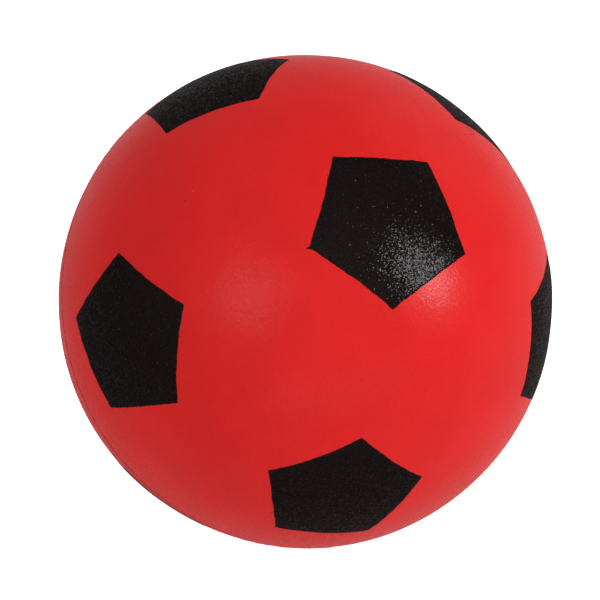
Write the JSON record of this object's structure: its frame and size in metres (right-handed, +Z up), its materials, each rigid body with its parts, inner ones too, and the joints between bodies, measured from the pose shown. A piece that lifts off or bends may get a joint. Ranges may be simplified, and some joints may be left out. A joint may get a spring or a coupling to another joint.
{
  "type": "foam ball",
  "caption": "Soft moulded foam ball with a thin red skin and black pentagons in the traditional football layout, for indoor throwing and kicking games.",
  "frame": {"origin": "centre of the ball", "axes": "+Z up as the ball lies. The mould's joint lies in a plane through the centre whose normal leans 36 degrees from +Z, towards 60 degrees clockwise of +X seen from above"},
  "size_m": [0.2008, 0.2008, 0.2],
  "materials": {
    "foam": "soft polyurethane sponge, coloured through",
    "skin": "thin moulded foam skin, satin, with a fine pebble",
    "print": "sprayed flexible paint film, semi-matt, with a fine grain"
  },
  "bodies": {
    "root": {"foam_core": "foam", "skin": "skin", "pentagon_01": "print", "pentagon_02": "print", "pentagon_03": "print", "pentagon_04": "print", "pentagon_05": "print", "pentagon_06": "print", "pentagon_07": "print", "pentagon_08": "print", "pentagon_09": "print", "pentagon_10": "print", "pentagon_11": "print", "pentagon_12": "print"}
  },
  "joints": []
}
